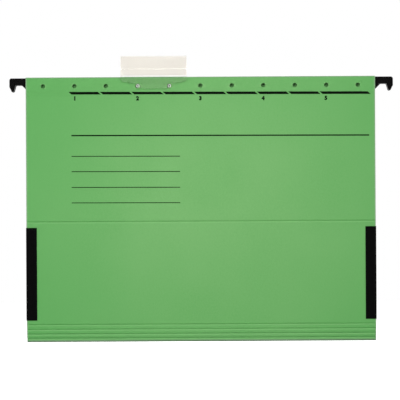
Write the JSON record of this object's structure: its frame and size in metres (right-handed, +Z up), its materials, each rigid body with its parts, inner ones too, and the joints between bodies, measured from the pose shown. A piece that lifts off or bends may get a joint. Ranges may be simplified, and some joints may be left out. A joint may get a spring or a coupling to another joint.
{
  "type": "hanging file pocket",
  "caption": "Hanging file pocket of folded green card with cloth side gussets, a pleated base, hooked rails and a clear index tab with a blank label.",
  "frame": {"origin": "the middle of the rear rail, in its centre plane, level with the flats of the hooks' notches on which the pocket hangs", "axes": "+X to the right as seen from the front, -Y towards the front, +Z up"},
  "size_m": [0.3826, 0.0192, 0.2855],
  "materials": {
    "card": "matt pressed card, dyed through",
    "gusset_cloth": "matt black bookbinding cloth",
    "hook": "glossy moulded black",
    "rail_strip": "black lacquered steel strip",
    "clear_plastic": "clear moulded plastic",
    "label_paper": "uncoated white paper"
  },
  "bodies": {
    "root": {"rear_panel": "card", "rear_rail_strip": "rail_strip", "rear_hook_left": "hook", "rear_hook_right": "hook", "left_gusset_tape_rear": "gusset_cloth", "right_gusset_tape_rear": "gusset_cloth"},
    "rear_pleat_1": {"rear_base_strip_1": "card"},
    "rear_pleat_2": {"rear_base_strip_2": "card"},
    "rear_pleat_3": {"rear_base_strip_3": "card"},
    "rear_pleat_4": {"rear_base_strip_4": "card"},
    "front_pleat_4": {"front_base_strip_4": "card"},
    "front_pleat_3": {"front_base_strip_3": "card"},
    "front_pleat_2": {"front_base_strip_2": "card"},
    "front_pleat_1": {"front_base_strip_1": "card"},
    "front_lower": {"front_lower_panel": "card", "left_gusset_tape_front": "gusset_cloth", "right_gusset_tape_front": "gusset_cloth"},
    "front_flap": {"front_upper_panel": "card", "front_rail_strip": "rail_strip", "front_hook_left": "hook", "front_hook_right": "hook"},
    "tab": {"index_tab": "clear_plastic"},
    "label": {"label_insert": "label_paper"},
    "left_leaf_rear": {"left_gusset_rear": "gusset_cloth"},
    "right_leaf_rear": {"right_gusset_rear": "gusset_cloth"},
    "left_leaf_front": {"left_gusset_front": "gusset_cloth"},
    "right_leaf_front": {"right_gusset_front": "gusset_cloth"}
  },
  "joints": [
    {"name": "front_slide", "type": "slide", "parent": "root", "child": "front_lower", "axis": [0, -1, 0], "range_m": [-0.007, 0.0075]},
    {"name": "rear_crease_1", "type": "hinge", "parent": "root", "child": "rear_pleat_1", "pos_m": [0, 0.00045, -0.239], "axis": [-1, 0, 0], "range_deg": [-8.7, 9.3]},
    {"name": "rear_crease_2", "type": "hinge", "parent": "rear_pleat_1", "child": "rear_pleat_2", "pos_m": [0, 0.00004, -0.24368], "axis": [-1, 0, 0], "range_deg": [-2.2, 2.3]},
    {"name": "rear_crease_3", "type": "hinge", "parent": "rear_pleat_2", "child": "rear_pleat_3", "pos_m": [0, -0.00118, -0.24822], "axis": [-1, 0, 0], "range_deg": [-2.2, 2.3]},
    {"name": "rear_crease_4", "type": "hinge", "parent": "rear_pleat_3", "child": "rear_pleat_4", "pos_m": [0, -0.00316, -0.25248], "axis": [-1, 0, 0], "range_deg": [-2.2, 2.3]},
    {"name": "front_crease_1", "type": "hinge", "parent": "front_lower", "child": "front_pleat_1", "pos_m": [0, -0.01217, -0.239], "axis": [1, 0, 0], "range_deg": [-8.7, 9.3]},
    {"name": "front_crease_2", "type": "hinge", "parent": "front_pleat_1", "child": "front_pleat_2", "pos_m": [0, -0.01176, -0.24368], "axis": [1, 0, 0], "range_deg": [-2.2, 2.3]},
    {"name": "front_crease_3", "type": "hinge", "parent": "front_pleat_2", "child": "front_pleat_3", "pos_m": [0, -0.01054, -0.24822], "axis": [1, 0, 0], "range_deg": [-2.2, 2.3]},
    {"name": "front_crease_4", "type": "hinge", "parent": "front_pleat_3", "child": "front_pleat_4", "pos_m": [0, -0.00855, -0.25248], "axis": [1, 0, 0], "range_deg": [-2.2, 2.3]},
    {"name": "left_fold_rear", "type": "hinge", "parent": "root", "child": "left_leaf_rear", "pos_m": [-0.17535, -0.00015, -0.1883], "axis": [0, 0, -1], "range_deg": [-11.7, 12.5]},
    {"name": "right_fold_rear", "type": "hinge", "parent": "root", "child": "right_leaf_rear", "pos_m": [0.17375, -0.00015, -0.1883], "axis": [0, 0, 1], "range_deg": [-11.7, 12.5]},
    {"name": "left_fold_front", "type": "hinge", "parent": "front_lower", "child": "left_leaf_front", "pos_m": [-0.17535, -0.01157, -0.1883], "axis": [0, 0, 1], "range_deg": [-11.7, 12.5]},
    {"name": "right_fold_front", "type": "hinge", "parent": "front_lower", "child": "right_leaf_front", "pos_m": [0.17375, -0.01157, -0.1883], "axis": [0, 0, -1], "range_deg": [-11.7, 12.5]},
    {"name": "cross_crease", "type": "hinge", "parent": "front_lower", "child": "front_flap", "pos_m": [0, -0.01262, -0.1365], "axis": [1, 0, 0], "range_deg": [0, 160]},
    {"name": "tab_slide", "type": "slide", "parent": "front_flap", "child": "tab", "axis": [0, -1, 0], "range_m": [0, 0.012]},
    {"name": "label_slide", "type": "slide", "parent": "tab", "child": "label", "axis": [1, 0, 0], "range_m": [0, 0.068]}
  ],
  "couplings": [
    {"joint": "rear_crease_1", "follows": "front_slide", "rad_per_m": 21.415},
    {"joint": "rear_crease_2", "follows": "front_slide", "rad_per_m": 5.236},
    {"joint": "rear_crease_3", "follows": "front_slide", "rad_per_m": 5.236},
    {"joint": "rear_crease_4", "follows": "front_slide", "rad_per_m": 5.236},
    {"joint": "front_crease_1", "follows": "front_slide", "rad_per_m": 21.415},
    {"joint": "front_crease_2", "follows": "front_slide", "rad_per_m": 5.236},
    {"joint": "front_crease_3", "follows": "front_slide", "rad_per_m": 5.236},
    {"joint": "front_crease_4", "follows": "front_slide", "rad_per_m": 5.236},
    {"joint": "left_fold_rear", "follows": "front_slide", "rad_per_m": 28.93},
    {"joint": "right_fold_rear", "follows": "front_slide", "rad_per_m": 28.93},
    {"joint": "left_fold_front", "follows": "front_slide", "rad_per_m": 28.93},
    {"joint": "right_fold_front", "follows": "front_slide", "rad_per_m": 28.93}
  ]
}
